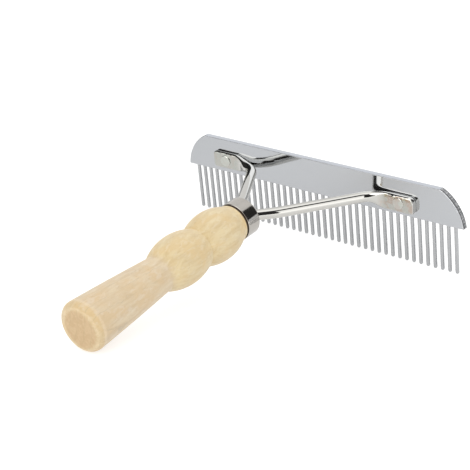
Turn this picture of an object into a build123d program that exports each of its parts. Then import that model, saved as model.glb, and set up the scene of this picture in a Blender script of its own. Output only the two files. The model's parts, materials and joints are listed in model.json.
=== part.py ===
"""Undercoat rake: a turned wooden handle, a two-armed rod fork and a comb bar with round teeth.

The pieces are drawn square to the comb bar and then turned into the resting pose, in which the
rake stands on its tooth tips and on the rim of the handle's butt.

Drawing frame (mm): X runs along the bar, Y runs from the handle to the bar, Z is up the bar.
Y = 0 is the bar's handle-side face, Z = 0 is the bar's toothed edge, X = 0 is the bar's middle.
Row frame (mm): +Z up, Z = 0 on the surface the rake rests on, X = Y = 0 at the middle of its box.
"""
from build123d import *
from math import asin, atan2, cos, degrees, hypot, radians, sin
import os

# Comb bar
BAR_WIDTH = 160.0
BAR_HEIGHT = 17.0
BAR_THICKNESS = 3.0
BAR_TOP_WIDTH = 136.6
BAR_END_RADIUS = 21.4
BAR_EDGE_ROUND = 0.3

# Teeth
TOOTH_COUNT = 40
TOOTH_PITCH = 3.86
TOOTH_RADIUS = 0.9
TOOTH_LENGTH = 23.5
TOOTH_SEAT_DEPTH = 4.5

# Fork of two rod arms, flattened to riveted tabs
FORK_X = -3.0
ROD_RADIUS = 2.5
ROD_CLEARANCE = 0.1
ROD_ROOT_RADIUS = 5.0
ROD_SWAY_RADIUS = 60.0
ROD_SWAY_DISTANCE = 14.0

# The arms are bent and beaten by hand, so these sizes differ from side to side
ARM_BEND_RADIUS = {"left": 14.0, "right": 7.0}
ARM_CORNER_SPREAD = {"left": 33.2, "right": 35.7}
ARM_CORNER_Z = {"left": 6.9, "right": 7.5}
TAB_START_SPREAD = {"left": 41.3, "right": 39.9}
TAB_TAPER_LENGTH = {"left": 6.0, "right": 6.0}
TAB_END_SPREAD = {"left": 58.3, "right": 58.6}
TAB_HEIGHT = {"left": 8.0, "right": 8.2}
TAB_THICKNESS = {"left": 2.3, "right": 3.0}
TAB_CORNER = {"left": 1.3, "right": 2.2}
TAB_Z = {"left": 7.0, "right": 6.5}

# Rivets
RIVET_SPREAD = 50.9
RIVET_Z = 7.0
RIVET_SHANK_RADIUS = 2.0
RIVET_HEAD_RADIUS = 2.8
RIVET_HEAD_HEIGHT = 0.9
RIVET_HEAD_ROUND = 0.5

# Handle, measured along its own axis from the butt face; each pair is a distance and a radius
HANDLE_DROOP_DEG = 3.2
HANDLE_AXIS_Z = 12.2
OVERALL_LENGTH = 160.0
BUTT_ROUND = 3.6
BUTT_RADIUS = 11.6
GRIP_MIDDLE = (25.0, 10.2)
FIRST_GROOVE = (49.0, 8.3)
FIRST_BEAD = (63.0, 11.85)
SECOND_GROOVE = (74.2, 9.25)
SECOND_BEAD = (85.2, 11.95)
NECK_START = (97.0, 8.95)
SHOULDER = (98.9, 8.8)
TENON_RADIUS = 8.2
TENON_END = 103.6

# Tangs of the arms, side by side in the handle; each arm's straight run points back to
# ARM_LINE_START, but the rod leaves the ferrule at a wider angle and sways onto that line
TANG_SPREAD = 2.95
TANG_START = 68.0
TANG_CORNER = 108.2
ARM_LINE_START = 105.6

# Ferrule; a narrow open joint parts it from the wood's shoulder
FERRULE_START = 99.6
FERRULE_LENGTH = 7.9
FERRULE_RADIUS = 9.0
FERRULE_LIP = 0.9
FERRULE_MOUTH_RADIUS = 7.3
FERRULE_REAR_ROUND = 0.2
FERRULE_FRONT_ROUND = 0.9

SIDES = {"left": -1, "right": 1}

# The handle's axis and its butt face
droop = radians(HANDLE_DROOP_DEG)
axis_direction = Vector(0, cos(droop), sin(droop))
butt_distance = (OVERALL_LENGTH - BAR_THICKNESS) / cos(droop)
butt_centre = Vector(FORK_X, 0, HANDLE_AXIS_Z) - axis_direction * butt_distance
handle_plane = Plane(origin=butt_centre, x_dir=(1, 0, 0), z_dir=axis_direction)


def handle_point(x, distance):
    """A point beside the handle's axis, at a distance from the butt face."""
    return handle_plane.from_local_coords(Vector(x, 0, distance))


def rod_y():
    """The rod's centre line where it lies along the bar's face."""
    return -(ROD_RADIUS + ROD_CLEARANCE)


def along_y(radius, start, end, x, z):
    """A cylinder along Y between two Y values."""
    middle = Pos(x, (start + end) / 2, z)
    return middle * Rot(90, 0, 0) * Cylinder(radius, end - start)


def make_bar():
    """The comb bar: a flat strip with large round upper corners and drilled seats for the teeth."""
    foot_right = (BAR_WIDTH / 2, 0)
    foot_left = (-BAR_WIDTH / 2, 0)
    top_right = (BAR_TOP_WIDTH / 2, BAR_HEIGHT)
    top_left = (-BAR_TOP_WIDTH / 2, BAR_HEIGHT)
    outline = Curve() + [
        Line(foot_left, foot_right),
        RadiusArc(foot_right, top_right, -BAR_END_RADIUS),
        Line(top_right, top_left),
        RadiusArc(top_left, foot_left, -BAR_END_RADIUS),
    ]
    bar = extrude(Plane.XZ * make_face(outline), -BAR_THICKNESS)
    rim = bar.faces().filter_by(Axis.Y).edges()
    bar = fillet(rim, BAR_EDGE_ROUND)
    for index in range(TOOTH_COUNT):
        seat = Cylinder(TOOTH_RADIUS, TOOTH_SEAT_DEPTH, align=(Align.CENTER, Align.CENTER, Align.MIN))
        bar -= Pos(tooth_x(index), BAR_THICKNESS / 2, 0) * seat
    for side in SIDES.values():
        rivet_x = FORK_X + side * RIVET_SPREAD
        bar -= along_y(RIVET_SHANK_RADIUS, 0, BAR_THICKNESS, rivet_x, RIVET_Z)
    return bar


def tooth_x(index):
    """The place of one tooth along the bar."""
    return (index - (TOOTH_COUNT - 1) / 2) * TOOTH_PITCH


def make_tooth(index):
    """A straight round tooth with a hemispherical tip, seated in the bar."""
    tip_z = -TOOTH_LENGTH + TOOTH_RADIUS
    shank_length = TOOTH_SEAT_DEPTH - tip_z
    shank = Cylinder(TOOTH_RADIUS, shank_length, align=(Align.CENTER, Align.CENTER, Align.MIN))
    tooth = Pos(0, 0, tip_z) * (shank + Sphere(TOOTH_RADIUS))
    return Pos(tooth_x(index), BAR_THICKNESS / 2, 0) * tooth


def make_arm(name):
    """One arm of the fork: tang in the handle, swayed rod, bend at the bar, flattened tab."""
    side = SIDES[name]
    taper_start = FORK_X + side * TAB_START_SPREAD[name]
    line_start = handle_point(side * TANG_SPREAD, ARM_LINE_START)
    corner = Vector(FORK_X + side * ARM_CORNER_SPREAD[name], rod_y(), ARM_CORNER_Z[name])
    path = FilletPolyline(
        handle_point(side * TANG_SPREAD, TANG_START),
        handle_point(side * TANG_SPREAD, TANG_CORNER),
        line_start + (corner - line_start).normalized() * ROD_SWAY_DISTANCE,
        corner,
        (taper_start, rod_y(), ARM_CORNER_Z[name]),
        radius=[ROD_ROOT_RADIUS, ROD_SWAY_RADIUS, ARM_BEND_RADIUS[name]],
    )
    section = Plane(origin=path @ 0, z_dir=path % 0) * Circle(ROD_RADIUS)
    rod = sweep(section, path=path)

    height, thickness, tab_z = TAB_HEIGHT[name], TAB_THICKNESS[name], TAB_Z[name]
    taper_length = TAB_TAPER_LENGTH[name]
    taper_end = taper_start + side * taper_length
    round_start = (taper_start, rod_y(), ARM_CORNER_Z[name])
    flat_start = (taper_end, -thickness / 2, tab_z)
    across = Plane(origin=round_start, x_dir=(0, 0, 1), z_dir=(side, 0, 0))
    flat = Plane(origin=flat_start, x_dir=(0, 0, 1), z_dir=(side, 0, 0))
    taper = loft([across * Circle(ROD_RADIUS), flat * Ellipse(height / 2, thickness / 2)])

    tab_end = FORK_X + side * TAB_END_SPREAD[name]
    tab_length = abs(tab_end - taper_end) + taper_length / 3
    tab_middle = tab_end - side * tab_length / 2
    outline = Pos(tab_middle, tab_z) * RectangleRounded(tab_length, height, TAB_CORNER[name])
    tab = extrude(Plane.XZ * outline, thickness)

    arm = rod + taper + tab
    rivet_x = FORK_X + side * RIVET_SPREAD
    return arm - along_y(RIVET_SHANK_RADIUS, -thickness, 0, rivet_x, RIVET_Z)


def make_rivet(name):
    """A rivet with a low head on the tab, finished flush with the bar's far face."""
    rivet_x = FORK_X + SIDES[name] * RIVET_SPREAD
    tab_face = -TAB_THICKNESS[name]
    shank = along_y(RIVET_SHANK_RADIUS, tab_face, BAR_THICKNESS, rivet_x, RIVET_Z)
    head = along_y(RIVET_HEAD_RADIUS, tab_face - RIVET_HEAD_HEIGHT, tab_face, rivet_x, RIVET_Z)
    crown = head.edges().sort_by(Axis.Y)[0]
    return shank + fillet(crown, RIVET_HEAD_ROUND)


def make_ferrule():
    """The chromed ferrule: a short collar with a rolled lip round the arms' mouth."""
    rear = FERRULE_START
    front = rear + FERRULE_LENGTH
    bore_rear = (TENON_RADIUS, rear)
    rear_edge = (FERRULE_RADIUS - FERRULE_REAR_ROUND, rear)
    rear_side = (FERRULE_RADIUS, rear + FERRULE_REAR_ROUND)
    front_side = (FERRULE_RADIUS, front - FERRULE_FRONT_ROUND)
    front_edge = (FERRULE_RADIUS - FERRULE_FRONT_ROUND, front)
    mouth = (FERRULE_MOUTH_RADIUS, front)
    mouth_step = (FERRULE_MOUTH_RADIUS, front - FERRULE_LIP)
    bore_step = (TENON_RADIUS, front - FERRULE_LIP)
    profile = Curve() + [
        Line(bore_rear, rear_edge),
        RadiusArc(rear_edge, rear_side, -FERRULE_REAR_ROUND),
        Line(rear_side, front_side),
        RadiusArc(front_side, front_edge, -FERRULE_FRONT_ROUND),
        Line(front_edge, mouth),
        Line(mouth, mouth_step),
        Line(mouth_step, bore_step),
        Line(bore_step, bore_rear),
    ]
    collar = revolve(Plane.XZ * make_face(profile), Axis.Z)
    return handle_plane.location * collar


def profile_arc(start, middle, end):
    """An arc of the handle's profile through three points, each a distance and a radius."""
    return ThreePointArc(start[::-1], middle[::-1], end[::-1])


def make_handle():
    """The turned wooden handle: tapered grip, two round beads, short neck, shoulder and tenon."""
    round_start = (0, BUTT_RADIUS - BUTT_ROUND)
    round_end = (BUTT_ROUND, BUTT_RADIUS)
    profile = Curve() + [
        Line((0, 0), round_start[::-1]),
        RadiusArc(round_start[::-1], round_end[::-1], -BUTT_ROUND),
        profile_arc(round_end, GRIP_MIDDLE, FIRST_GROOVE),
        profile_arc(FIRST_GROOVE, FIRST_BEAD, SECOND_GROOVE),
        profile_arc(SECOND_GROOVE, SECOND_BEAD, NECK_START),
        Line(NECK_START[::-1], SHOULDER[::-1]),
        Line(SHOULDER[::-1], (TENON_RADIUS, SHOULDER[0])),
        Line((TENON_RADIUS, SHOULDER[0]), (TENON_RADIUS, TENON_END)),
        Line((TENON_RADIUS, TENON_END), (0, TENON_END)),
        Line((0, TENON_END), (0, 0)),
    ]
    handle = revolve(Plane.XZ * make_face(profile), Axis.Z)
    for side in SIDES.values():
        bore_length = TENON_END - TANG_START
        bore = Cylinder(ROD_RADIUS, bore_length, align=(Align.CENTER, Align.CENTER, Align.MIN))
        handle -= Pos(side * TANG_SPREAD, 0, TANG_START) * bore
    return handle_plane.location * handle


def resting_pose():
    """The turn about X that sets the tooth tips and the butt's rounded rim on one level."""
    tip_y = BAR_THICKNESS / 2
    tip_z = -TOOTH_LENGTH + TOOTH_RADIUS
    rim = handle_plane.from_local_coords(Vector(0, 0, BUTT_ROUND))
    inset = BUTT_RADIUS - BUTT_ROUND
    rim_y = rim.Y + inset * sin(droop)
    rim_z = rim.Z - inset * cos(droop)
    reach_y = tip_y - rim_y
    reach_z = tip_z - rim_z
    reach = hypot(reach_y, reach_z)
    return degrees(asin((TOOTH_RADIUS - BUTT_ROUND) / reach) - atan2(reach_z, reach_y))


def make_pieces():
    """Every piece of the rake in the drawing frame, by name."""
    pieces = {"comb_bar": make_bar()}
    for index in range(TOOTH_COUNT):
        pieces[f"tooth_{index + 1:02d}"] = make_tooth(index)
    for name in SIDES:
        pieces[f"fork_arm_{name}"] = make_arm(name)
        pieces[f"rivet_{name}"] = make_rivet(name)
    pieces["ferrule"] = make_ferrule()
    pieces["handle"] = make_handle()
    return pieces


def main():
    """Build the pieces, set them in the resting pose and write one STEP file for each."""
    turn = Rot(resting_pose(), 0, 0)
    pieces = {name: turn * piece for name, piece in make_pieces().items()}
    boxes = [piece.bounding_box() for piece in pieces.values()]
    near_y = min(box.min.Y for box in boxes)
    far_y = max(box.max.Y for box in boxes)
    floor_z = min(box.min.Z for box in boxes)
    place = Pos(0, -(near_y + far_y) / 2, -floor_z)
    os.makedirs("parts", exist_ok=True)
    for name, piece in pieces.items():
        solid = place * piece
        solid.label = name
        export_step(solid, f"parts/{name}.step")
    print(f"resting turn {resting_pose():.3f} deg, moved by {place.position}")


main()
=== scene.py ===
"""Looks of the undercoat rake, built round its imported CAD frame.

The handle, ferrule, fork arms, rivets and teeth are modelled here in finer detail over their CAD
nodes; the comb bar keeps its CAD mesh. Sizes are in metres. Two local frames come from the
record's mounts: the bar frame (X along the bar, Y through it, Z up it, origin on the middle of its
toothed edge's handle side) and the handle frame (Z along the handle's axis from its butt face).
"""
import json
import math

import bmesh
import bpy
from mathutils import Matrix, Vector, noise


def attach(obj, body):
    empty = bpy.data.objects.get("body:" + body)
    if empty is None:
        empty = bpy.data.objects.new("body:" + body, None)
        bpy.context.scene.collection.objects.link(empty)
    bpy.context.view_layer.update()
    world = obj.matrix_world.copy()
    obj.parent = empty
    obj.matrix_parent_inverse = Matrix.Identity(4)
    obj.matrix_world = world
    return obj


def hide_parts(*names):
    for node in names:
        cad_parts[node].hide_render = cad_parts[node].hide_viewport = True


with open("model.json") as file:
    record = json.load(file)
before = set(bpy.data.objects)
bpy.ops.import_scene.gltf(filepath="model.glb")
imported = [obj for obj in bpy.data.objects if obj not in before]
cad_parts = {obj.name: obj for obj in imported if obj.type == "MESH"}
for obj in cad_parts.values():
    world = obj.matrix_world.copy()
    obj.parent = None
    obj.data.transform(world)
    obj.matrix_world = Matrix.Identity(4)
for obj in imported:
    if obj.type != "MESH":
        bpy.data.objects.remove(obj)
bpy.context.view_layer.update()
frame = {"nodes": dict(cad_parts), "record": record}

MM = 0.001

# Comb bar and teeth, in the bar frame
BAR_HEIGHT = 17.0 * MM
BAR_THICKNESS = 3.0 * MM
TOOTH_COUNT = 40
TOOTH_PITCH = 3.86 * MM
TOOTH_RADIUS = 0.9 * MM
TOOTH_LENGTH = 23.5 * MM
TOOTH_SEAT_DEPTH = 4.5 * MM

# Fork, in the bar frame
FORK_X = -3.0 * MM
ROD_RADIUS = 2.5 * MM
ROD_Y = -2.6 * MM
FORK_ROOT_RADIUS = 5.0 * MM
FORK_SWAY_RADIUS = 60.0 * MM
FORK_SWAY_DISTANCE = 14.0 * MM


class Arm:
    """The sizes in mm that differ between the two arms, which are bent and beaten by hand.

    corner is the bend's distance from the fork's middle, its height and its radius; taper is where
    the rod starts to flatten and over what length; tab_size is a height and a thickness;
    end_rounds are the tab's top and bottom corners; squareness is 2 for an oval section and more
    for a squarer one; beating is how deep the dents are and the seed of their pattern.
    """

    def __init__(
        self, side, corner, taper, tab_end, tab_size, tab_z, end_rounds, squareness, beating
    ):
        self.side = side
        self.corner_spread, self.corner_z, self.bend_radius = (size * MM for size in corner)
        self.taper_start, self.taper_length = taper[0] * MM, taper[1] * MM
        self.tab_end = tab_end * MM
        self.tab_height, self.tab_thickness = tab_size[0] * MM, tab_size[1] * MM
        self.tab_z = tab_z * MM
        self.top_round, self.bottom_round = end_rounds[0] * MM, end_rounds[1] * MM
        self.squareness = squareness
        self.beating, self.seed = beating


ARMS = {
    "left": Arm(
        side=-1, corner=(33.2, 6.9, 14.0), taper=(35.5, 9.5), tab_end=58.3, tab_size=(8.0, 2.3),
        tab_z=7.0, end_rounds=(1.3, 1.3), squareness=5.0, beating=(0.4, 5),
    ),
    "right": Arm(
        side=1, corner=(35.7, 7.5, 8.5), taper=(34.8, 9.2), tab_end=58.6, tab_size=(8.2, 3.0),
        tab_z=6.5, end_rounds=(2.8, 1.6), squareness=3.6, beating=(1.1, 12),
    ),
}

# Tabs: the round of their thin end edge, how much later and slower their back squares off than
# their front, and the depth and width in mm of broad and small hammer dents
TAB_END_EDGE = 0.35 * MM
TAB_END_RINGS = 16
BACK_TAPER_DELAY = 0.3
BACK_TAPER_STRETCH = 1.3
BROAD_DENT_DEPTH, BROAD_DENT_WIDTH = 0.26, 4.5
SMALL_DENT_DEPTH, SMALL_DENT_WIDTH = 0.07, 1.4

# Rivets, in the bar frame; the crown's points are shares of the head's height and radius
RIVET_SPREAD = 50.9 * MM
RIVET_Z = 7.0 * MM
RIVET_SHANK_RADIUS = 1.97 * MM
RIVET_HEAD_RADIUS = 2.8 * MM
RIVET_HEAD_HEIGHT = 0.6 * MM
RIVET_CROWN_MIDDLE = (0.93, 0.5)
RIVET_CROWN_EDGE = (0.8, 0.82)
RIVET_CORNER_HEIGHT = 0.76
RIVET_BROW_HEIGHT = 0.45
RIVET_DENT_DEPTH = 0.07 * MM
RIVET_DENT_WIDTH = 1.3 * MM
RIVET_SIDES = 64

# Handle, in the handle frame; each pair is a distance from the butt face and a radius
BUTT_ROUND = 3.6 * MM
BUTT_RADIUS = 11.6 * MM
BUTT_HOLLOW = 0.28 * MM
BUTT_DISC_RADIUS = 8.8 * MM
BUTT_RIM_RADIUS = 9.2 * MM
GRIP_MIDDLE = (25.0 * MM, 10.2 * MM)
FIRST_GROOVE = (49.0 * MM, 8.3 * MM)
FIRST_BEAD = (63.0 * MM, 11.85 * MM)
SECOND_GROOVE = (74.2 * MM, 9.25 * MM)
SECOND_BEAD = (85.2 * MM, 11.95 * MM)
NECK_START = (97.0 * MM, 8.95 * MM)
SHOULDER = (98.9 * MM, 8.8 * MM)
SHOULDER_ROUND = 0.75 * MM
TENON_RADIUS = 8.15 * MM
TENON_END = 103.6 * MM
TANG_SPREAD = 2.95 * MM
TANG_START = 68.0 * MM
TANG_CORNER = 108.2 * MM
ARM_LINE_START = 105.6 * MM

# The pale ring round the butt's face sits this far to the right
BUTT_RING_SHIFT = 0.8 * MM

# Ferrule, in the handle frame
FERRULE_START = 99.6 * MM
FERRULE_LENGTH = 7.9 * MM
FERRULE_RADIUS = 9.0 * MM
FERRULE_LIP = 0.9 * MM
FERRULE_MOUTH_RADIUS = 7.3 * MM
FERRULE_REAR_ROUND = 0.2 * MM
FERRULE_FRONT_ROUND = 0.9 * MM

# How finely the pieces are divided, and the angle from which an edge stays sharp
HANDLE_SIDES = 160
FERRULE_SIDES = 144
ROD_SIDES = 48
TOOTH_SIDES = 28
TOOTH_TIP_RINGS = 10
STEP = 0.45 * MM
SHARP_ANGLE_DEG = 38


# ---------------------------------------------------------------------------------------------
# Frames
# ---------------------------------------------------------------------------------------------

def mount(name):
    """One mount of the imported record: its place and its axis."""
    found = next(m for m in frame["record"]["mounts"] if m["name"] == name)
    return Vector(found["pos_m"]), Vector(found["axis"]).normalized()


def frame_matrix(origin, x_axis, y_axis, z_axis):
    """The matrix that takes a local frame to the row frame."""
    matrix = Matrix((x_axis, y_axis, z_axis)).transposed().to_4x4()
    matrix.translation = origin
    return matrix


def bar_frame():
    """The frame of the comb bar, from the mount in the middle of its far face."""
    place, through = mount("bar_far_face")
    along = Vector((1, 0, 0))
    up = along.cross(through)
    origin = place - through * BAR_THICKNESS - up * BAR_HEIGHT / 2
    return frame_matrix(origin, along, through, up)


def handle_frame():
    """The frame of the handle, from the mount on its butt face."""
    place, outward = mount("butt_face")
    axis = -outward
    across = Vector((1, 0, 0))
    return frame_matrix(place, across, axis.cross(across), axis)


BAR = bar_frame()
HANDLE = handle_frame()
HANDLE_IN_BAR = BAR.inverted() @ HANDLE


# ---------------------------------------------------------------------------------------------
# Mesh helpers
# ---------------------------------------------------------------------------------------------

def arc_through(start, middle, end, count):
    """Points along the circular arc through three points, the start left out."""
    (ax, ay), (bx, by), (cx, cy) = start, middle, end
    turn = 2 * (ax * (by - cy) + bx * (cy - ay) + cx * (ay - by))
    a2, b2, c2 = ax * ax + ay * ay, bx * bx + by * by, cx * cx + cy * cy
    ox = (a2 * (by - cy) + b2 * (cy - ay) + c2 * (ay - by)) / turn
    oy = (a2 * (cx - bx) + b2 * (ax - cx) + c2 * (bx - ax)) / turn
    radius = math.hypot(ax - ox, ay - oy)
    first = math.atan2(ay - oy, ax - ox)
    last = math.atan2(cy - oy, cx - ox)
    sweep = (last - first + math.pi) % (2 * math.pi) - math.pi
    angles = [first + sweep * (i + 1) / count for i in range(count)]
    return [(ox + radius * math.cos(a), oy + radius * math.sin(a)) for a in angles]


def corner_round(start, corner, end, count):
    """Points of a quarter-like round from start to end, bulging to the corner, both ends kept."""
    points = []
    for i in range(count + 1):
        t = math.pi / 2 * i / count
        a, b = 1 - math.sin(t), 1 - math.cos(t)
        x = corner[0] + (start[0] - corner[0]) * a + (end[0] - corner[0]) * b
        y = corner[1] + (start[1] - corner[1]) * a + (end[1] - corner[1]) * b
        points.append((x, y))
    return points


def straight(start, end, step=STEP):
    """Points from start to end about one step apart, the start left out."""
    count = max(1, round(math.dist(start, end) / step))
    return [
        tuple(s + (e - s) * (i + 1) / count for s, e in zip(start, end)) for i in range(count)
    ]


def new_piece(name, bm, place, material):
    """A smooth-shaded piece from a bmesh in a local frame, riding on the one body."""
    bmesh.ops.remove_doubles(bm, verts=bm.verts, dist=1e-7)
    bmesh.ops.recalc_face_normals(bm, faces=bm.faces)
    mesh = bpy.data.meshes.new(name)
    bm.to_mesh(mesh)
    bm.free()
    mesh.transform(place)
    for polygon in mesh.polygons:
        polygon.use_smooth = True
    mesh.set_sharp_from_angle(angle=math.radians(SHARP_ANGLE_DEG))
    mesh.materials.append(material)
    piece = bpy.data.objects.new(name, mesh)
    bpy.context.scene.collection.objects.link(piece)
    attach(piece, "root")
    return piece


def finish_piece(piece, nodes):
    """Hide the CAD nodes that a piece stands in for."""
    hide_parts(*nodes)
    return piece


def lathe(profile, sides, closed=False):
    """A solid turned about Z from (distance, radius) points; a closed profile makes a ring."""
    bm = bmesh.new()
    rings = []
    for distance, radius in profile:
        if radius < 1e-9:
            rings.append([bm.verts.new((0, 0, distance))])
            continue
        ring = []
        for i in range(sides):
            angle = 2 * math.pi * i / sides
            across, up = radius * math.cos(angle), radius * math.sin(angle)
            ring.append(bm.verts.new((across, up, distance)))
        rings.append(ring)
    pairs = list(zip(rings, rings[1:]))
    if closed:
        pairs.append((rings[-1], rings[0]))
    for low, high in pairs:
        join_rings(bm, low, high)
    return bm


def join_rings(bm, low, high):
    """Faces between two rings of points, either of which may be a single point."""
    sides = max(len(low), len(high))
    for i in range(sides):
        j = (i + 1) % sides
        if len(low) == 1:
            bm.faces.new((low[0], high[j], high[i]))
        elif len(high) == 1:
            bm.faces.new((low[i], low[j], high[0]))
        else:
            bm.faces.new((low[i], low[j], high[j], high[i]))


def cut_round_hole(piece, radius, start, end):
    """Cut a round hole through a piece, between two points of the row frame."""
    bm = bmesh.new()
    bmesh.ops.create_cone(
        bm, cap_ends=True, segments=64, radius1=radius, radius2=radius, depth=(end - start).length
    )
    mesh = bpy.data.meshes.new("hole")
    turn = (end - start).to_track_quat("Z", "Y").to_matrix().to_4x4()
    bm.transform(Matrix.Translation((start + end) / 2) @ turn)
    bm.to_mesh(mesh)
    bm.free()
    cutter = bpy.data.objects.new("hole", mesh)
    bpy.context.scene.collection.objects.link(cutter)
    modifier = piece.modifiers.new("hole", "BOOLEAN")
    modifier.object = cutter
    modifier.solver = "EXACT"
    bpy.context.view_layer.update()
    evaluated = piece.evaluated_get(bpy.context.evaluated_depsgraph_get())
    cut = bpy.data.meshes.new_from_object(evaluated)
    cut.name = piece.data.name
    piece.modifiers.clear()
    piece.data = cut
    bpy.data.objects.remove(cutter)


# ---------------------------------------------------------------------------------------------
# Node helpers
# ---------------------------------------------------------------------------------------------

class Nodes:
    """A short way to write a node tree."""

    def __init__(self, tree):
        self.tree = tree
        self.tree.nodes.clear()

    def feed(self, value, target):
        """Link a node's output to a socket, or set the socket to a plain value."""
        if isinstance(value, bpy.types.NodeSocket):
            self.tree.links.new(value, target)
        else:
            target.default_value = value

    def add(self, kind, inputs=None, **settings):
        node = self.tree.nodes.new(kind)
        for key, value in settings.items():
            setattr(node, key, value)
        for key, value in (inputs or {}).items():
            self.feed(value, node.inputs[key])
        return node

    def math(self, operation, first, second=0.0):
        return self.add("ShaderNodeMath", {0: first, 1: second}, operation=operation).outputs[0]

    def times(self, first, second):
        return self.math("MULTIPLY", first, second)

    def plus(self, first, second):
        return self.math("ADD", first, second)

    def parts(self, vector):
        """The X, Y and Z of a vector."""
        return self.add("ShaderNodeSeparateXYZ", {0: vector}).outputs

    def vector(self, operation, first, second=(0, 0, 0), output="Vector"):
        node = self.add("ShaderNodeVectorMath", {0: first, 1: second}, operation=operation)
        return node.outputs[output]

    def ramp(self, value, low, high, start=0.0, end=1.0, kind="SMOOTHSTEP"):
        """A value taken from one range to another, smoothly unless told otherwise."""
        return self.add("ShaderNodeMapRange", {
            "Value": value, "From Min": low, "From Max": high, "To Min": start, "To Max": end,
        }, interpolation_type=kind).outputs[0]

    def between(self, factor, first, second):
        """A number between two others."""
        node = self.add("ShaderNodeMix", {0: factor, 2: first, 3: second}, data_type="FLOAT")
        return node.outputs[0]


class Look(Nodes):
    """A material's node tree, with its shader ready to be set."""

    def __init__(self, name):
        self.material = bpy.data.materials.new(name)
        self.material.use_nodes = True
        super().__init__(self.material.node_tree)
        self.output = self.tree.nodes.new("ShaderNodeOutputMaterial")
        self.shader = self.tree.nodes.new("ShaderNodeBsdfPrincipled")
        self.feed(self.shader.outputs[0], self.output.inputs["Surface"])

    def place(self):
        """The point's place in the row frame, as each mesh holds it."""
        return self.add("ShaderNodeTexCoord").outputs["Object"]

    def normal(self):
        """The X, Y and Z of the surface's direction in the row frame."""
        return self.parts(self.add("ShaderNodeNewGeometry").outputs["Normal"])

    def in_frame(self, matrix, scale=(1, 1, 1)):
        """The point's place in a local frame; a scale under 1 draws a pattern out along it."""
        inverse = matrix.inverted()
        moved = self.add("ShaderNodeMapping", {
            "Vector": self.place(),
            "Location": inverse.to_translation(),
            "Rotation": inverse.to_euler(),
        }).outputs[0]
        return self.vector("MULTIPLY", moved, scale)

    def noise(self, vector, scale, detail=2.0, roughness=0.5, distortion=0.0):
        return self.add("ShaderNodeTexNoise", {
            "Vector": vector, "Scale": scale, "Detail": detail,
            "Roughness": roughness, "Distortion": distortion,
        }).outputs["Fac"]

    def mix(self, factor, first, second, blend="MIX"):
        """A colour between two others."""
        node = self.add("ShaderNodeMix", data_type="RGBA", blend_type=blend)
        for value, socket in ((factor, 0), (first, 6), (second, 7)):
            self.feed(value, node.inputs[socket])
        return node.outputs[2]

    def layers(self, base, *layers):
        """Colours laid over a base, each (pattern, low, high, strength, colour)."""
        for pattern, low, high, strength, color in layers:
            base = self.mix(self.ramp(pattern, low, high, 0.0, strength), base, color)
        return base

    def bump(self, height, distance, strength=1.0, normal=None):
        node = self.add("ShaderNodeBump", {
            "Height": height, "Distance": distance, "Strength": strength,
        })
        if normal is not None:
            self.feed(normal, node.inputs["Normal"])
        return node.outputs[0]

    def set(self, **values):
        """Set the shader's sockets; a socket's name is given with underscores."""
        for key, value in values.items():
            self.feed(value, self.shader.inputs[key.replace("_", " ")])


def srgb(red, green, blue):
    """A colour given as 8-bit screen values, as the linear colour that the shader takes."""
    def linear(value):
        value /= 255
        return value / 12.92 if value <= 0.04045 else ((value + 0.055) / 1.055) ** 2.4
    return (linear(red), linear(green), linear(blue), 1.0)


# ---------------------------------------------------------------------------------------------
# Materials
#
# A noise's scale is in features per metre, so 1000 has features about 1 mm across.
# ---------------------------------------------------------------------------------------------

WHITE = (1.0, 1.0, 1.0, 1.0)

BAR_FACE_DARK = srgb(188, 190, 193)
BAR_FACE_LIGHT = srgb(194, 196, 199)
# The top face's colour is a painted highlight, lighter and bluer than the face
BAR_TOP_HIGHLIGHT = srgb(205, 209, 216)
BAR_RIM_DARK = srgb(142, 143, 145)
BAR_RIM_LIGHT = srgb(224, 225, 227)
BAR_RIM_DARKENED = srgb(74, 75, 77)
# Painted highlight along the rounded edge between the bar's face and its rim
BAR_EDGE_HIGHLIGHT = srgb(232, 233, 235)
POLISH_DEPTH = 0.004 * MM

# How far a face has to point up to be the bar's top, as its normal's Z; the top gets a painted
# highlight
TOP_FROM, TOP_FULL = 0.93, 0.98


def bar_rim_color(m, grind, out):
    """Ground metal across the rim, darker near both of its edges, with a painted highlight on its
    front round.
    """
    color = m.mix(m.ramp(grind, 0.35, 0.65), BAR_RIM_DARK, BAR_RIM_LIGHT)
    streaks = m.noise(m.in_frame(BAR, (0.12, 1, 0.12)), scale=1100, detail=2, roughness=0.5)
    through = m.parts(m.in_frame(BAR))["Y"]
    near_side = m.ramp(through, 0.5 * MM, 1.1 * MM, 1.0, 0.0)
    far_side = m.ramp(through, 2.1 * MM, 2.7 * MM)
    sides = m.math("MAXIMUM", near_side, far_side)
    # Darker near both of the rim's edges and in streaks
    darkening = m.math("MAXIMUM", sides, m.ramp(streaks, 0.5, 0.65, 0.0, 0.6))
    color = m.mix(m.times(darkening, 0.8), color, BAR_RIM_DARKENED)
    # Painted highlight on the rounded edge between the face and the rim
    painted_edge_highlight = m.times(m.ramp(out, 0.2, 0.45), m.ramp(out, 0.9, 0.98, 1.0, 0.0))
    return m.mix(painted_edge_highlight, color, BAR_EDGE_HIGHLIGHT)


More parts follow.
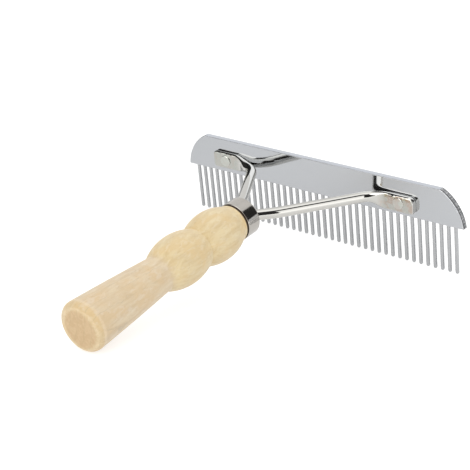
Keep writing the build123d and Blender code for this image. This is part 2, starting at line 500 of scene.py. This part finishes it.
def bar_material():
    """Mirror-polished face and top with faint polishing lines and a painted highlight on the top,
    and satin ground round ends.
    """
    m = Look("bar_steel_look")
    lines = m.noise(m.in_frame(BAR, (0.02, 1, 1)), scale=5200, detail=3, roughness=0.6)
    grind = m.noise(m.in_frame(BAR, (1, 0.05, 1)), scale=2600, detail=3, roughness=0.6)
    haze = m.noise(m.in_frame(BAR), scale=60, detail=3, roughness=0.5)
    normal = m.normal()
    up = normal["Z"]
    rim = m.ramp(m.math("ABSOLUTE", normal["X"]), 0.1, 0.4)
    face_color = m.mix(lines, BAR_FACE_DARK, BAR_FACE_LIGHT)
    # Painted highlight: the faces that point up get a lighter colour
    face_color = m.mix(m.ramp(up, TOP_FROM, TOP_FULL), face_color, BAR_TOP_HIGHLIGHT)
    rim_color = bar_rim_color(m, grind, m.times(normal["Y"], -1.0))
    face_rough = m.plus(m.times(haze, 0.05), 0.05)
    rim_rough = m.plus(m.times(grind, 0.2), 0.22)
    soft_edge = m.times(m.ramp(up, -0.02, 0.12), m.ramp(up, TOP_FROM, TOP_FULL, 1.0, 0.0))
    m.set(
        Base_Color=m.mix(rim, face_color, rim_color),
        Metallic=1.0,
        Roughness=m.plus(m.between(rim, face_rough, rim_rough), m.times(soft_edge, 0.3)),
        Normal=m.bump(m.between(rim, lines, grind), POLISH_DEPTH, 0.35),
    )
    return m.material


ROD_DARK = srgb(201, 200, 195)
ROD_LIGHT = srgb(208, 206, 201)
BEATEN_GREY = srgb(194, 189, 182)
# The pink colours below are a painted reflection of the wood handle on the beaten tabs and rivets
TAB_WOOD_REFLECTION = srgb(185, 172, 162)
TAB_GREEN = srgb(184, 187, 181)
RIVET_WOOD_REFLECTION = srgb(196, 190, 183)
RIVET_GREEN = srgb(197, 201, 194)

# The rods are beaten from here outwards along the bar, measured from the fork's middle
BEATEN_FROM, BEATEN_FULL = 39.0 * MM, 45.0 * MM


def beaten_color(m, patches, along, wood_reflection_tint, green_tint):
    """Dull plate in green patches and pink patches of painted reflection of the handle, stronger
    towards the right arm, with grey flecks.
    """
    # Painted reflection: pink patches where the beaten faces mirror the wood handle
    wood_reflection = m.times(m.ramp(patches, 0.42, 0.58, 1.0, 0.1), m.ramp(along, -0.03, 0.03, 0.35, 1.0))
    dull = m.mix(wood_reflection, green_tint, wood_reflection_tint)
    flecks = m.noise(m.place(), scale=900, detail=2, roughness=0.6)
    return m.layers(dull, (flecks, 0.45, 0.65, 0.6, BEATEN_GREY))


def rod_material(name, wood_reflection_tint, green_tint):
    """Bright chrome plate over a drawn rod; the beaten faces are duller, mottled, dented and carry
    a painted reflection of the handle.
    """
    m = Look(name)
    place = m.place()
    waves = m.noise(place, scale=320, detail=2, roughness=0.5)
    specks = m.noise(place, scale=3800, detail=2, roughness=0.6)
    patches = m.noise(place, scale=260, detail=2, roughness=0.5, distortion=0.4)
    dents = m.noise(place, scale=700, detail=2, roughness=0.55)
    along = m.parts(place)["X"]
    spread = m.math("ABSOLUTE", m.math("SUBTRACT", along, FORK_X))
    outer_side = m.ramp(m.normal()["Y"], -0.95, -0.8, 1.0, 0.0)
    beaten = m.times(m.ramp(spread, BEATEN_FROM, BEATEN_FULL), outer_side)
    shine = m.ramp(specks, 0.3, 0.8, 0.02, 0.06)
    dullness = m.ramp(patches, 0.3, 0.7, 0.1, 0.22)
    smooth_plate = m.bump(waves, 0.02 * MM, 0.5, m.bump(specks, 0.002 * MM, 0.25))
    m.set(
        Base_Color=m.mix(
            beaten,
            m.mix(waves, ROD_DARK, ROD_LIGHT),
            beaten_color(m, patches, along, wood_reflection_tint, green_tint),
        ),
        Metallic=1.0,
        Roughness=m.between(beaten, shine, dullness),
        Normal=m.bump(dents, 0.22 * MM, m.times(beaten, 0.8), smooth_plate),
    )
    return m.material


FERRULE_DARK = srgb(187, 183, 177)
FERRULE_LIGHT = srgb(194, 190, 184)


def ferrule_material():
    """Bright chrome plate with faint lines round it."""
    m = Look("ferrule_chrome_look")
    rings = m.noise(m.in_frame(HANDLE, (0.03, 0.03, 1)), scale=4200, detail=3, roughness=0.6)
    haze = m.noise(m.place(), scale=260, detail=3, roughness=0.5)
    m.set(
        Base_Color=m.mix(haze, FERRULE_DARK, FERRULE_LIGHT),
        Metallic=1.0,
        Roughness=m.ramp(haze, 0.3, 0.75, 0.09, 0.16),
        Normal=m.bump(rings, POLISH_DEPTH, 0.4),
    )
    return m.material


TOOTH_DARK = srgb(166, 167, 169)
TOOTH_LIGHT = srgb(194, 195, 196)


def tooth_material():
    """Satin steel, drawn along the tooth."""
    m = Look("tooth_steel_look")
    drawn = m.noise(m.in_frame(BAR, (1, 1, 0.03)), scale=5200, detail=3, roughness=0.6)
    haze = m.noise(m.place(), scale=300, detail=2, roughness=0.5)
    m.set(
        Base_Color=m.mix(drawn, TOOTH_DARK, TOOTH_LIGHT),
        Metallic=1.0,
        Roughness=m.ramp(haze, 0.3, 0.7, 0.24, 0.34),
        Normal=m.bump(drawn, 0.005 * MM, 0.4),
    )
    return m.material


WOOD_LIGHT = srgb(216, 199, 162)
WOOD_DARK = srgb(204, 183, 144)
WOOD_ORANGE = srgb(212, 187, 142)
WOOD_PALE = srgb(221, 209, 184)
WOOD_FLECK = srgb(184, 158, 116)
WOOD_END_LIGHT = srgb(208, 180, 139)
WOOD_END_DARK = srgb(199, 169, 127)
WOOD_RIM = srgb(232, 211, 176)
WOOD_GRAIN = srgb(176, 160, 132)
# Painted shade in the gap where the wood meets the ferrule
WOOD_JOINT_SHADE = srgb(70, 52, 36)

# Tints that multiply the wood's colour: the beads and the butt's round are warmer, the grip pinker
# On the beads this tint is strongest towards the grooves, as painted warm shade
BEAD_TINT = (1.05, 1.02, 0.93, 1.0)
GRIP_TINT = (0.985, 0.975, 1.06, 1.0)
ROUND_TINT = (1.04, 1.01, 0.9, 1.0)

# The tree's heart lies beside the handle, so the growth rings cross its side as long lines
HEART_OFFSET = (0.034, 0.012, 0)
GROWTH_RING_SCALE = 80.0


class WoodPlace:
    """Where a point of the handle is: along its axis, and how far from the axis."""

    def __init__(self, m):
        self.point = m.in_frame(HANDLE)
        self.distance = m.parts(self.point)["Z"]
        self.flat = m.vector("MULTIPLY", self.point, (1, 1, 0))
        self.radius = m.vector("LENGTH", self.flat, output="Value")
        ring_place = m.vector("ADD", self.flat, (-BUTT_RING_SHIFT, 0, 0))
        wander = m.noise(self.point, scale=260, detail=2, roughness=0.5)
        wander = m.times(m.math("SUBTRACT", wander, 0.5), 1.1 * MM)
        self.ring_radius = m.plus(m.vector("LENGTH", ring_place, output="Value"), wander)
        self.from_butt = m.plus(self.distance, wander)


class WoodPatterns:
    """The patterns that the wood's colour, gloss and relief share."""

    def __init__(self, m, place):
        def drawn_out(amount, **settings):
            return m.noise(m.in_frame(HANDLE, (1, 1, amount)), **settings)

        self.figure = drawn_out(0.17, scale=400, detail=4, roughness=0.6, distortion=0.6)
        self.mottle = drawn_out(0.5, scale=520, detail=3, roughness=0.6, distortion=0.5)
        self.flecks = drawn_out(0.45, scale=1300, detail=2, roughness=0.6)
        self.pores = drawn_out(0.12, scale=3600, detail=2, roughness=0.6)
        self.blotches = m.noise(place.point, scale=85, detail=2, roughness=0.5, distortion=0.6)
        self.end_patches = m.noise(place.point, scale=420, detail=3, roughness=0.6, distortion=1.0)
        self.end_pores = m.noise(place.point, scale=2600, detail=3, roughness=0.65)
        self.growth = m.add("ShaderNodeTexWave", {
            "Vector": m.vector("ADD", place.point, HEART_OFFSET), "Scale": GROWTH_RING_SCALE,
            "Distortion": 1.6, "Detail": 3.0, "Detail Scale": 2.5, "Detail Roughness": 0.6,
        }, wave_type="RINGS", rings_direction="Z", wave_profile="SAW").outputs["Fac"]


def side_grain(m, place, patterns):
    """The wood's colour on its turned side: soft figure, flecks, pores and growth lines."""
    color = m.mix(m.ramp(patterns.figure, 0.3, 0.7), WOOD_DARK, WOOD_LIGHT)
    color = m.layers(
        color,
        (patterns.blotches, 0.42, 0.62, 0.7, WOOD_ORANGE),
        (patterns.mottle, 0.48, 0.7, 0.4, WOOD_PALE),
        (patterns.flecks, 0.6, 0.76, 0.4, WOOD_FLECK),
        (patterns.pores, 0.62, 0.8, 0.3, WOOD_FLECK),
    )
    groove = FIRST_GROOVE[0]
    on_beads = m.ramp(place.distance, groove - 2 * MM, groove + 3 * MM)
    # Painted shade: the beads' warm tint grows towards the bottoms of the grooves
    groove_warm_shade = m.ramp(place.radius, 8.6 * MM, 11.6 * MM, 1.0, 0.35)
    color = m.mix(m.times(on_beads, groove_warm_shade), color, BEAD_TINT, "MULTIPLY")
    color = m.mix(1.0, color, m.mix(on_beads, GRIP_TINT, WHITE), "MULTIPLY")
    on_grip = m.ramp(place.distance, groove - 6 * MM, groove, 1.0, 0.2)
    broken = m.times(on_grip, m.ramp(patterns.mottle, 0.35, 0.6))
    line = m.times(m.ramp(patterns.growth, 0.9, 0.99), broken)
    return m.mix(m.times(line, 0.45), color, WOOD_GRAIN)


def end_grain(m, patterns):
    """The wood's colour on the butt's face: patches, growth rings and pores."""
    color = m.mix(m.ramp(patterns.end_patches, 0.35, 0.65), WOOD_END_DARK, WOOD_END_LIGHT)
    color = m.mix(m.times(m.ramp(patterns.growth, 0.75, 0.99), 0.3), color, WOOD_FLECK)
    return m.layers(color, (patterns.end_pores, 0.52, 0.75, 0.4, WOOD_FLECK))


def butt_colors(m, color, place, patterns):
    """The butt: a yellower round that ends in a pale line, and a pale ring round its face."""
    start = place.from_butt
    on_round = m.ramp(start, BUTT_ROUND - 0.8 * MM, BUTT_ROUND + 0.4 * MM, 1.0, 0.0)
    color = m.mix(on_round, color, ROUND_TINT, "MULTIPLY")
    rise = m.ramp(start, BUTT_ROUND - 0.7 * MM, BUTT_ROUND + 0.1 * MM)
    fall = m.ramp(start, BUTT_ROUND + 0.5 * MM, BUTT_ROUND + 1.5 * MM, 1.0, 0.0)
    strength = m.ramp(patterns.end_patches, 0.35, 0.65, 0.1, 0.45)
    color = m.mix(m.times(m.times(rise, fall), strength), color, WOOD_RIM)

    edge = place.ring_radius
    near_butt = m.ramp(place.distance, 1.2 * MM, 2.4 * MM, 1.0, 0.0)
    disc = m.ramp(edge, BUTT_DISC_RADIUS - 1.0 * MM, BUTT_RIM_RADIUS, 1.0, 0.0)
    color = m.mix(m.times(near_butt, disc), color, end_grain(m, patterns))
    rise = m.ramp(edge, BUTT_DISC_RADIUS - 0.1 * MM, BUTT_RIM_RADIUS + 0.3 * MM)
    fall = m.ramp(edge, BUTT_RIM_RADIUS + 0.5 * MM, BUTT_RIM_RADIUS + 1.1 * MM, 1.0, 0.0)
    ring = m.times(m.times(rise, fall), near_butt)
    strength = m.ramp(patterns.end_patches, 0.35, 0.65, 0.1, 0.6)
    return m.mix(m.times(ring, strength), color, WOOD_RIM)


def joint_shade_color(m, color, place):
    """Painted shade on the wood in the joint behind the ferrule, fading towards the tenon's end.
    """
    shoulder = SHOULDER[0]
    into_joint = m.ramp(place.distance, shoulder - 0.55 * MM, shoulder - 0.1 * MM)
    fade = m.ramp(place.distance, shoulder + 1 * MM, TENON_END - 1 * MM, 1.0, 0.3)
    return m.mix(m.times(into_joint, fade), color, WOOD_JOINT_SHADE)


def wood_material():
    """Pale turned wood under a thin soft finish, with end grain on the butt."""
    m = Look("handle_wood_look")
    place = WoodPlace(m)
    patterns = WoodPatterns(m, place)
    color = side_grain(m, place, patterns)
    color = butt_colors(m, color, place, patterns)
    color = joint_shade_color(m, color, place)
    height = m.plus(m.times(patterns.figure, 0.4), m.times(patterns.flecks, 0.6))
    m.set(
        Base_Color=color,
        Roughness=m.ramp(patterns.flecks, 0.2, 0.8, 0.48, 0.62),
        Normal=m.bump(height, 0.03 * MM, 0.5),
        Specular_IOR_Level=0.35,
        Sheen_Weight=0.3,
        Sheen_Roughness=0.45,
        Sheen_Tint=(1.0, 0.97, 0.92, 1.0),
    )
    return m.material


# ---------------------------------------------------------------------------------------------
# Pieces
# ---------------------------------------------------------------------------------------------

def handle_profile():
    """The handle's outline from the middle of its butt to the middle of its tenon's end."""
    flat_edge = (0.0, BUTT_RADIUS - BUTT_ROUND)
    round_end = (BUTT_ROUND, BUTT_RADIUS)
    butt_round = corner_round(flat_edge, (0.0, BUTT_RADIUS), round_end, 36)
    hollow_middle, hollow_edge = (BUTT_HOLLOW, 0.0), (BUTT_HOLLOW, BUTT_DISC_RADIUS)
    profile = [hollow_middle] + straight(hollow_middle, hollow_edge)
    profile += [point for point in butt_round if point[1] > BUTT_RIM_RADIUS]
    profile += arc_through(round_end, GRIP_MIDDLE, FIRST_GROOVE, 80)
    profile += arc_through(FIRST_GROOVE, FIRST_BEAD, SECOND_GROOVE, 56)
    profile += arc_through(SECOND_GROOVE, SECOND_BEAD, NECK_START, 52)
    shoulder_start = (SHOULDER[0] - SHOULDER_ROUND, SHOULDER[1])
    shoulder_end = (SHOULDER[0], SHOULDER[1] - SHOULDER_ROUND)
    profile += straight(NECK_START, shoulder_start)
    profile += corner_round(shoulder_start, SHOULDER, shoulder_end, 6)[1:]
    tenon_start, tenon_end = (SHOULDER[0], TENON_RADIUS), (TENON_END, TENON_RADIUS)
    profile += [tenon_start] + straight(tenon_start, tenon_end, 1.2 * MM)
    return profile + straight(tenon_end, (TENON_END, 0.0), 2.0 * MM)


def make_handle(material):
    """The turned handle with its tenon, bored for the two tangs."""
    bm = lathe(handle_profile(), HANDLE_SIDES)
    piece = new_piece("turned_handle", bm, HANDLE, material)
    for arm in ARMS.values():
        start = HANDLE @ Vector((arm.side * TANG_SPREAD, 0, TANG_START))
        end = HANDLE @ Vector((arm.side * TANG_SPREAD, 0, TENON_END + 1 * MM))
        cut_round_hole(piece, ROD_RADIUS, start, end)
    return finish_piece(piece, ["handle"])


def ferrule_profile():
    """The ferrule's outline, closed: outside, front and mouth, then back along its bore."""
    rear, front = FERRULE_START, FERRULE_START + FERRULE_LENGTH
    rear_edge = (rear, FERRULE_RADIUS - FERRULE_REAR_ROUND)
    rear_side = (rear + FERRULE_REAR_ROUND, FERRULE_RADIUS)
    front_side = (front - FERRULE_FRONT_ROUND, FERRULE_RADIUS)
    front_edge = (front, FERRULE_RADIUS - FERRULE_FRONT_ROUND)
    mouth = (front, FERRULE_MOUTH_RADIUS)
    mouth_step = (front - FERRULE_LIP, FERRULE_MOUTH_RADIUS)
    bore_step = (front - FERRULE_LIP, TENON_RADIUS)
    bore_rear = (rear, TENON_RADIUS)
    profile = corner_round(rear_edge, (rear, FERRULE_RADIUS), rear_side, 8)
    profile += straight(rear_side, front_side)
    profile += corner_round(front_side, (front, FERRULE_RADIUS), front_edge, 12)[1:]
    profile += straight(front_edge, mouth) + straight(mouth, mouth_step)
    return profile + [bore_step, bore_rear]


def make_ferrule(material):
    """The ferrule: a thin collar with a rounded front and a lip round its mouth."""
    bm = lathe(ferrule_profile(), FERRULE_SIDES, closed=True)
    piece = new_piece("ferrule_collar", bm, HANDLE, material)
    return finish_piece(piece, ["ferrule"])


def make_tooth(index, material):
    """A straight round tooth with a hemispherical tip."""
    profile = []
    for i in range(TOOTH_TIP_RINGS + 1):
        angle = math.pi / 2 * i / TOOTH_TIP_RINGS
        height = TOOTH_RADIUS * (1 - math.cos(angle)) - TOOTH_LENGTH
        profile.append((height, TOOTH_RADIUS * math.sin(angle)))
    root = (TOOTH_SEAT_DEPTH, TOOTH_RADIUS)
    profile += straight(profile[-1], root, 2.8 * MM) + [(TOOTH_SEAT_DEPTH, 0.0)]
    x = (index - (TOOTH_COUNT - 1) / 2) * TOOTH_PITCH
    place = BAR @ Matrix.Translation((x, BAR_THICKNESS / 2, 0))
    name = f"tooth_{index + 1:02d}"
    piece = new_piece(f"{name}_pin", lathe(profile, TOOTH_SIDES), place, material)
    return finish_piece(piece, [name])


def rivet_profile(length):
    """A rivet's outline from the middle of its low crown to the middle of its flush end."""
    def on_head(height, radius):
        return (-RIVET_HEAD_HEIGHT * height, RIVET_HEAD_RADIUS * radius)

    top, brow = on_head(1.0, 0.0), on_head(RIVET_BROW_HEIGHT, 1.0)
    foot, shank = (0.0, RIVET_HEAD_RADIUS), (0.0, RIVET_SHANK_RADIUS)
    shank_end = (length, RIVET_SHANK_RADIUS)
    profile = [top]
    profile += arc_through(top, on_head(*RIVET_CROWN_MIDDLE), on_head(*RIVET_CROWN_EDGE), 10)
    profile += corner_round(profile[-1], on_head(RIVET_CORNER_HEIGHT, 1.0), brow, 6)[1:]
    profile += straight(brow, foot, 0.2 * MM) + [shank]
    profile += straight(shank, shank_end, 1.0 * MM)
    return profile + straight(shank_end, (length, 0.0), 0.5 * MM)


def make_rivet(name, arm, material):
    """A rivet with a low hammered head, finished flush on the far face."""
    bm = lathe(rivet_profile(arm.tab_thickness + BAR_THICKNESS), RIVET_SIDES)
    seed = Vector((17.0 * arm.side, 3.0, 5.0))
    for vert in bm.verts:
        if vert.co.z < -0.1 * MM:
            vert.co.z += RIVET_DENT_DEPTH * noise.noise(vert.co / RIVET_DENT_WIDTH + seed)
    through = Matrix.Rotation(-math.pi / 2, 4, "X")
    x = FORK_X + arm.side * RIVET_SPREAD
    place = BAR @ Matrix.Translation((x, -arm.tab_thickness, RIVET_Z)) @ through
    piece = new_piece(f"{name}_body", bm, place, material)
    return finish_piece(piece, [name])


def fillet_path(points, radii, step):
    """Points and directions along straight runs joined by tangent arcs, one radius for each."""
    samples = []
    cursor = points[0]
    for before, corner, after, radius in zip(points, points[1:], points[2:], radii):
        u, v = (corner - before).normalized(), (after - corner).normalized()
        turn = u.angle(v)
        trim = radius * math.tan(turn / 2)
        samples += run_samples(cursor, corner - u * trim, step)
        inward = (v - u).normalized()
        centre = corner + inward * radius / math.cos(turn / 2)
        axis = u.cross(v).normalized()
        start = corner - u * trim
        count = max(6, round(radius * turn / step))
        for i in range(count):
            spin = Matrix.Rotation(turn * i / count, 3, axis)
            samples.append((centre + spin @ (start - centre), spin @ u))
        cursor = corner + v * trim
    last = (points[-1] - points[-2]).normalized()
    samples += run_samples(cursor, points[-1], step)
    samples.append((points[-1], last))
    return samples


def run_samples(start, end, step):
    """Points and directions along one straight run, the end left out."""
    direction = (end - start).normalized()
    count = max(1, round((end - start).length / step))
    return [(start.lerp(end, i / count), direction) for i in range(count)]


def smooth(t):
    """A step from 0 to 1 with level ends."""
    t = min(1.0, max(0.0, t))
    return t * t * (3 - 2 * t)


def rounded_end(half, radius, from_end):
    """Half of a tab's height near its end, where a corner of one radius takes some off."""
    inset = max(0.0, radius - from_end)
    return half - (radius - math.sqrt(max(0.0, radius ** 2 - inset ** 2)))


def hammering(arm, spread, z, flatness):
    """How far a blow has pushed a tab's face in, at one place on it."""
    spot = Vector((spread, z, 0)) / MM + Vector((arm.seed, 2 * arm.seed, 0.5))
    broad = BROAD_DENT_DEPTH * noise.noise(spot / BROAD_DENT_WIDTH)
    small = SMALL_DENT_DEPTH * noise.noise(spot / SMALL_DENT_WIDTH + Vector((9, 4, 2)))
    return (broad + small) * MM * flatness * arm.beating


class ArmSection:
    """The shape of an arm across one place: round on the rod, flat and squarer on the tab."""

    def __init__(self, arm, spread):
        self.arm, self.spread = arm, spread
        self.flatness = smooth((spread - arm.taper_start) / arm.taper_length)
        back_start = arm.taper_start + BACK_TAPER_DELAY * arm.taper_length
        back_flatness = smooth((spread - back_start) / (BACK_TAPER_STRETCH * arm.taper_length))
        self.front_power = self.power(self.flatness)
        self.back_power = self.power(back_flatness)
        from_end = arm.tab_end - spread
        half_height = self.from_rod_to(arm.tab_height / 2)
        self.top_half = rounded_end(half_height, arm.top_round, from_end)
        self.bottom_half = rounded_end(half_height, arm.bottom_round, from_end)
        half_thick = self.from_rod_to(arm.tab_thickness / 2)
        self.half_thick = rounded_end(half_thick, TAB_END_EDGE, from_end)

    def power(self, flatness):
        """The superellipse's power: 1 is round, and less is squarer."""
        return 2 / (2 + (self.arm.squareness - 2) * flatness)

    def from_rod_to(self, half):
        """Half of the rod's thickness, going over to half of the tab's height or thickness."""
        return ROD_RADIUS + (half - ROD_RADIUS) * self.flatness

    def point(self, angle):
        """One point of the outline: how far out from the bar and how far up."""
        c, s = math.cos(angle), math.sin(angle)
        power = self.front_power if c > 0 else self.back_power
        outward = math.copysign(abs(c) ** power, c) * self.half_thick
        half = self.top_half if s > 0 else self.bottom_half
        upward = math.copysign(abs(s) ** power, s) * half
        if outward > 0:
            dent = hammering(self.arm, self.spread, upward, self.flatness)
            outward -= dent * outward / self.half_thick
        return outward, upward


def arm_ring(bm, arm, centre, direction):
    """One ring of an arm's points, round its path."""
    section = ArmSection(arm, arm.side * (centre.x - FORK_X))
    across = direction.cross(Vector((0, 0, 1))).normalized() * arm.side
    top = (across.cross(direction) * arm.side).normalized()
    to_tab = Vector((0, -arm.tab_thickness / 2 - ROD_Y, arm.tab_z - arm.corner_z))
    centre = centre + to_tab * section.flatness
    ring = []
    for i in range(ROD_SIDES):
        outward, upward = section.point(2 * math.pi * i / ROD_SIDES)
        ring.append(bm.verts.new(centre + across * outward + top * upward))
    return ring


def arm_path(arm):
    """Points and directions along an arm: tang, sway onto its line, bend at the bar, tab."""
    tab_x = FORK_X + arm.side * arm.tab_end
    line_start = HANDLE_IN_BAR @ Vector((arm.side * TANG_SPREAD, 0, ARM_LINE_START))
    corner = Vector((FORK_X + arm.side * arm.corner_spread, ROD_Y, arm.corner_z))
    points = [
        HANDLE_IN_BAR @ Vector((arm.side * TANG_SPREAD, 0, TANG_START)),
        HANDLE_IN_BAR @ Vector((arm.side * TANG_SPREAD, 0, TANG_CORNER)),
        line_start + (corner - line_start).normalized() * FORK_SWAY_DISTANCE,
        corner,
        Vector((tab_x, ROD_Y, arm.corner_z)),
    ]
    radii = [FORK_ROOT_RADIUS, FORK_SWAY_RADIUS, arm.bend_radius]
    end_run = max(arm.top_round, arm.bottom_round)
    samples = [
        (point, direction) for point, direction in fillet_path(points, radii, STEP)
        if abs(point.x - tab_x) > end_run
    ]
    for i in range(TAB_END_RINGS + 1):
        inset = end_run * (1 - math.sin(math.pi / 2 * i / TAB_END_RINGS))
        place = Vector((tab_x - arm.side * inset, ROD_Y, arm.corner_z))
        samples.append((place, samples[-1][1]))
    return samples


def make_arm(name, arm, material):
    """One arm: tang in the handle, straight run, bend at the bar and hammered tab."""
    bm = bmesh.new()
    rings = [arm_ring(bm, arm, point, direction) for point, direction in arm_path(arm)]
    for low, high in zip(rings, rings[1:]):
        join_rings(bm, low, high)
    bm.faces.new(list(reversed(rings[0])))
    bm.faces.new(rings[-1])
    piece = new_piece(f"{name}_rod", bm, BAR, material)
    return finish_piece(piece, [name])


# ---------------------------------------------------------------------------------------------
# Stage
# ---------------------------------------------------------------------------------------------

# How strongly the floor glows: in the middle, more towards the right, less towards the left, and
# more again for what the camera sees of it than for the light that it throws
FLOOR_GLOW = 0.47
FLOOR_GLOW_RIGHT = 0.5
FLOOR_GLOW_LEFT = -0.12
FLOOR_GLOW_SEEN = 0.18
FLOOR_GREY = (0.5, 0.5, 0.5, 1.0)
FLOOR_HALF_SIZE = 6.0


def floor_material():
    """A white that mostly glows, so that shadows stay faint; clear from below."""
    m = Look("floor_look")
    x = m.parts(m.place())["X"]
    right = m.ramp(x, 0.03, 0.35, FLOOR_GLOW, FLOOR_GLOW + FLOOR_GLOW_RIGHT)
    left = m.ramp(x, -0.2, 0.03, FLOOR_GLOW_LEFT, 0.0)
    seen = m.add("ShaderNodeLightPath").outputs["Is Camera Ray"]
    m.set(
        Base_Color=FLOOR_GREY,
        Roughness=0.9,
        Specular_IOR_Level=0.0,
        Emission_Color=WHITE,
        Emission_Strength=m.plus(m.plus(right, left), m.times(seen, FLOOR_GLOW_SEEN)),
    )
    below = m.add("ShaderNodeNewGeometry").outputs["Backfacing"]
    clear = m.add("ShaderNodeBsdfTransparent").outputs[0]
    surface = m.add("ShaderNodeMixShader", {0: below, 1: m.shader.outputs[0], 2: clear})
    m.feed(surface.outputs[0], m.output.inputs["Surface"])
    return m.material


def make_floor():
    """A plain white table."""
    bm = bmesh.new()
    bmesh.ops.create_grid(bm, x_segments=1, y_segments=1, size=FLOOR_HALF_SIZE)
    mesh = bpy.data.meshes.new("floor")
    bm.to_mesh(mesh)
    bm.free()
    mesh.materials.append(floor_material())
    floor = bpy.data.objects.new("floor", mesh)
    bpy.context.scene.collection.objects.link(floor)


# Each light panel of the studio, in degrees: azimuth from and to (0 is -Y, the butt's side, and 90
# is +X), elevation from and to, how soft its edge is, and its light at the bottom and at the top
PANELS = [
    (146, 242, -3, 52, 2.0, 0.93, 0.95),
    (100, 242, 50, 70, 2.0, 0.90, 1.10),
    (66, 89, -12, 47, 1.5, 1.90, 1.15),
    (321, 382, -14, 66, 1.5, 2.40, 2.30),
    (-10, 370, 67, 95, 2.0, 1.30, 1.60),
]
STUDIO_GAPS = 0.035

# The even light that matt surfaces get, level with the floor and from above, and the white that
# the camera sees past the floor
SKY_LOW = 0.85
SKY_HIGH = 1.3
BACKDROP = 1.2


def panel_light(n, azimuth, elevation, panel):
    """The light of one panel in a direction, nothing outside it."""
    start, end, low, high, edge, bottom, top = panel

    def band(value, first, last):
        rise = n.ramp(value, first - edge, first + edge)
        fall = n.ramp(value, last - edge, last + edge, 1.0, 0.0)
        return n.times(rise, fall)

    from_start = n.math("MODULO", n.plus(azimuth, 720.0 - start + edge), 360.0)
    across = band(from_start, edge, end - start + edge) if end - start < 360 else 1.0
    light = n.ramp(elevation, low, high, bottom, top, "LINEAR")
    return n.times(n.times(across, band(elevation, low, high)), light)


def make_world():
    """A studio of bright panels with dark gaps between them, which the metal mirrors."""
    world = bpy.data.worlds.new("studio")
    bpy.context.scene.world = world
    world.use_nodes = True
    n = Nodes(world.node_tree)
    direction = n.parts(n.add("ShaderNodeTexCoord").outputs["Generated"])
    elevation = n.times(n.math("ARCSINE", direction["Z"]), 180 / math.pi)
    turn = n.math("ARCTAN2", direction["X"], n.times(direction["Y"], -1.0))
    azimuth = n.times(turn, 180 / math.pi)
    mirrored = STUDIO_GAPS
    for panel in PANELS:
        mirrored = n.math("MAXIMUM", mirrored, panel_light(n, azimuth, elevation, panel))
    rays = n.add("ShaderNodeLightPath").outputs
    even = n.ramp(elevation, -10, 80, SKY_LOW, SKY_HIGH)
    lit = n.between(rays["Is Diffuse Ray"], mirrored, even)
    seen = n.between(rays["Is Camera Ray"], lit, BACKDROP)
    background = n.add("ShaderNodeBackground", {"Color": WHITE, "Strength": seen})
    n.feed(background.outputs[0], n.add("ShaderNodeOutputWorld").inputs[0])


# The camera's lens, and where it stands: its direction and distance from the point it aims at
CAMERA_SENSOR_MM = 36.0
CAMERA_LENS_MM = 116.38
CAMERA_AZIMUTH_DEG = 40.353
CAMERA_ELEVATION_DEG = 21.461
CAMERA_ROLL_DEG = -1.710
CAMERA_AIM = Vector((-31.07, 52.16, 3.19)) * MM
CAMERA_DISTANCE = 725.0 * MM
CAMERA_CLIP = (0.05, 20.0)


def make_camera():
    """The camera: off to the right behind the butt, looking down along the handle."""
    data = bpy.data.cameras.new("camera")
    data.sensor_width = CAMERA_SENSOR_MM
    data.lens = CAMERA_LENS_MM
    data.clip_start, data.clip_end = CAMERA_CLIP
    camera = bpy.data.objects.new("camera", data)
    bpy.context.scene.collection.objects.link(camera)
    azimuth = math.radians(CAMERA_AZIMUTH_DEG)
    elevation = math.radians(CAMERA_ELEVATION_DEG)
    back = Vector((
        math.sin(azimuth) * math.cos(elevation),
        -math.cos(azimuth) * math.cos(elevation),
        math.sin(elevation),
    ))
    level = Vector((math.cos(azimuth), math.sin(azimuth), 0))
    right = Matrix.Rotation(math.radians(CAMERA_ROLL_DEG), 3, back) @ level
    place = CAMERA_AIM + back * CAMERA_DISTANCE
    camera.matrix_world = frame_matrix(place, right, back.cross(right), back)
    bpy.context.scene.camera = camera


def make_object():
    """Every visible piece of the rake."""
    chrome = rod_material("rod_chrome_look", TAB_WOOD_REFLECTION, TAB_GREEN)
    rivet_chrome = rod_material("rivet_chrome_look", RIVET_WOOD_REFLECTION, RIVET_GREEN)
    steel = tooth_material()
    make_handle(wood_material())
    make_ferrule(ferrule_material())
    for name, arm in ARMS.items():
        make_arm(f"fork_arm_{name}", arm, chrome)
        make_rivet(f"rivet_{name}", arm, rivet_chrome)
    for index in range(TOOTH_COUNT):
        make_tooth(index, steel)
    bar = frame["nodes"]["comb_bar"]
    bar.data.materials.clear()
    bar.data.materials.append(bar_material())


make_object()
make_floor()
make_world()
make_camera()
bpy.context.scene.view_settings.view_transform = "Standard"
